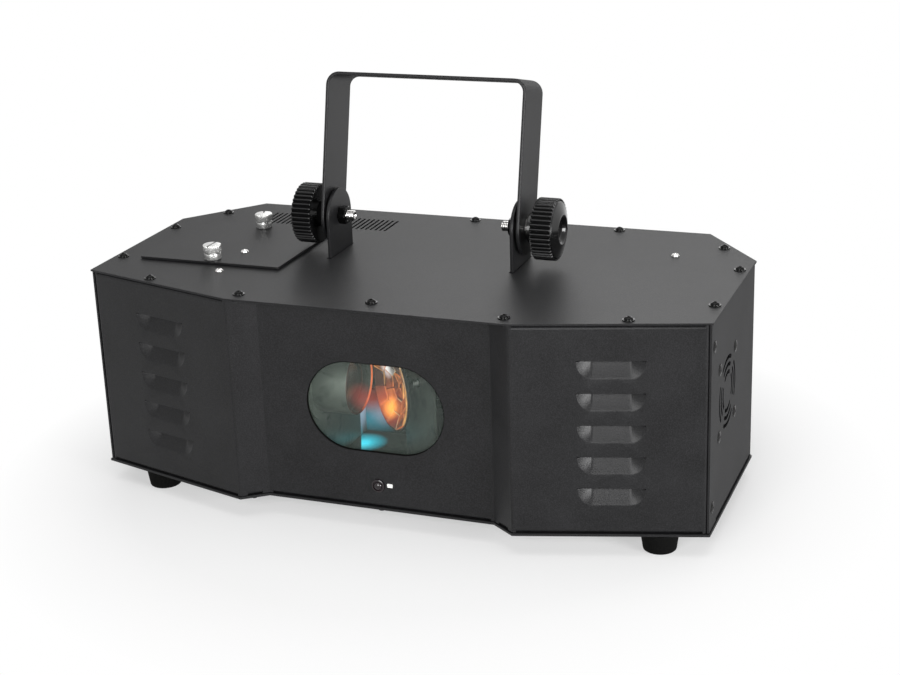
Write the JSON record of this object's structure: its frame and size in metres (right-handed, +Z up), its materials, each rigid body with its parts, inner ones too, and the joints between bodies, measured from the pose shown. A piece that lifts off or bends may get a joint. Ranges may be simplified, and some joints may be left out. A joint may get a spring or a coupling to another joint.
{
  "type": "led flower effect light",
  "caption": "Wide folded-steel effect light with louvred front, oval window, turning mirror dish, side fan, feet, service hatch and a tilting U bracket with clamping knobs.",
  "frame": {"origin": "centre of the outer box, on the plane that the feet stand on", "axes": "+Z up, the window faces -Y, +X runs to the right as seen from the front, along the longest side"},
  "size_m": [0.3816, 0.2059, 0.248],
  "materials": {
    "powder_coat": "matt black powder coat with a fine texture",
    "rubber": "matt black rubber",
    "knob_plastic": "moulded black plastic",
    "plastic": "moulded black plastic",
    "receiver_plastic": "dark glossy plastic",
    "black_steel": "blackened steel",
    "steel": "zinc-plated steel",
    "chrome": "polished nickel plate",
    "galvanised": "plain galvanised sheet",
    "aluminium": "extruded aluminium",
    "window_glass": "clear float glass",
    "lens": "clear moulded lens",
    "mirror": "flat mirror tiles",
    "circuit_board": "solder-masked board",
    "display": "dark tinted plastic"
  },
  "bodies": {
    "housing": {"top_plate": "powder_coat", "front_panel": "powder_coat", "rear_shell": "powder_coat", "bottom_plate": "powder_coat", "ear_bridge": "powder_coat", "foot_front_left": "rubber", "foot_front_right": "rubber", "foot_rear_left": "rubber", "foot_rear_right": "rubber", "window_glass": "window_glass", "glass_clip_upper": "steel", "glass_clip_lower": "steel", "ir_receiver": "receiver_plastic", "lock_nut_left": "black_steel", "lock_nut_right": "black_steel", "friction_washer_left": "plastic", "friction_washer_right": "plastic", "knob_washer_left": "steel", "knob_washer_right": "steel", "clinch_nut_front": "steel", "clinch_nut_rear": "steel", "fan_frame": "plastic", "chassis": "galvanised", "led_board": "circuit_board", "heat_sink": "aluminium", "lens_holder": "plastic", "led_lens": "lens", "dish_motor": "black_steel", "motor_bracket": "galvanised", "psu_board": "circuit_board", "psu_transformer": "plastic", "psu_capacitor": "plastic", "psu_heat_sink": "aluminium", "iec_inlet": "plastic", "dmx_in": "black_steel", "dmx_out": "black_steel", "control_board": "circuit_board", "display": "display", "safety_eye": "steel", "eye_nut_left": "steel", "eye_nut_right": "steel"},
    "bracket": {"bracket": "powder_coat"},
    "knob_left": {"knob_left": "knob_plastic", "stud_left": "steel"},
    "knob_right": {"knob_right": "knob_plastic", "stud_right": "steel"},
    "hatch": {"hatch_plate": "powder_coat"},
    "thumbscrew_front": {"thumbscrew_front": "chrome"},
    "thumbscrew_rear": {"thumbscrew_rear": "chrome"},
    "fan": {"fan_rotor": "plastic"},
    "dish": {"dish_plate": "mirror", "dish_shaft": "steel"},
    "menu_button": {"menu_button": "plastic"},
    "down_button": {"down_button": "plastic"},
    "up_button": {"up_button": "plastic"},
    "enter_button": {"enter_button": "plastic"},
    "fuse_drawer": {"fuse_drawer": "plastic"},
    "dmx_latch": {"dmx_latch": "steel"}
  },
  "joints": [
    {"name": "bracket_tilt", "type": "hinge", "parent": "housing", "child": "bracket", "pos_m": [0, 0.00115, 0.1606], "axis": [1, 0, 0], "range_deg": [-76, 103]},
    {"name": "knob_left_turn", "type": "hinge", "parent": "housing", "child": "knob_left", "pos_m": [-0.0648, 0.00115, 0.1606], "axis": [-1, 0, 0], "range_deg": [0, 360]},
    {"name": "knob_right_turn", "type": "hinge", "parent": "housing", "child": "knob_right", "pos_m": [0.0648, 0.00115, 0.1606], "axis": [1, 0, 0], "range_deg": [0, 360]},
    {"name": "hatch_lift", "type": "slide", "parent": "housing", "child": "hatch", "axis": [0, 0, 1], "range_m": [0, 0.0024]},
    {"name": "thumbscrew_front_turn", "type": "hinge", "parent": "hatch", "child": "thumbscrew_front", "pos_m": [-0.125, -0.03995, 0.1398], "axis": [0, 0, 1], "range_deg": [0, 1080]},
    {"name": "thumbscrew_rear_turn", "type": "hinge", "parent": "hatch", "child": "thumbscrew_rear", "pos_m": [-0.125, 0.03065, 0.1398], "axis": [0, 0, 1], "range_deg": [0, 1080]},
    {"name": "fan_spin", "type": "hinge", "parent": "housing", "child": "fan", "pos_m": [0.1885, -0.03075, 0.083], "axis": [1, 0, 0], "continuous": true},
    {"name": "dish_spin", "type": "hinge", "parent": "housing", "child": "dish", "pos_m": [0, -0.05165, 0.074], "axis": [-0.7071, -0.7071, 0], "continuous": true},
    {"name": "menu_button_press", "type": "slide", "parent": "housing", "child": "menu_button", "axis": [0, -1, 0], "range_m": [0, 0.0012], "stiffness_N_per_m": 400},
    {"name": "down_button_press", "type": "slide", "parent": "housing", "child": "down_button", "axis": [0, -1, 0], "range_m": [0, 0.0012], "stiffness_N_per_m": 400},
    {"name": "up_button_press", "type": "slide", "parent": "housing", "child": "up_button", "axis": [0, -1, 0], "range_m": [0, 0.0012], "stiffness_N_per_m": 400},
    {"name": "enter_button_press", "type": "slide", "parent": "housing", "child": "enter_button", "axis": [0, -1, 0], "range_m": [0, 0.0012], "stiffness_N_per_m": 400},
    {"name": "fuse_drawer_slide", "type": "slide", "parent": "housing", "child": "fuse_drawer", "axis": [0, 1, 0], "range_m": [0, 0.0195]},
    {"name": "dmx_latch_press", "type": "slide", "parent": "housing", "child": "dmx_latch", "axis": [0, -1, 0], "range_m": [0, 0.001], "stiffness_N_per_m": 500}
  ]
}
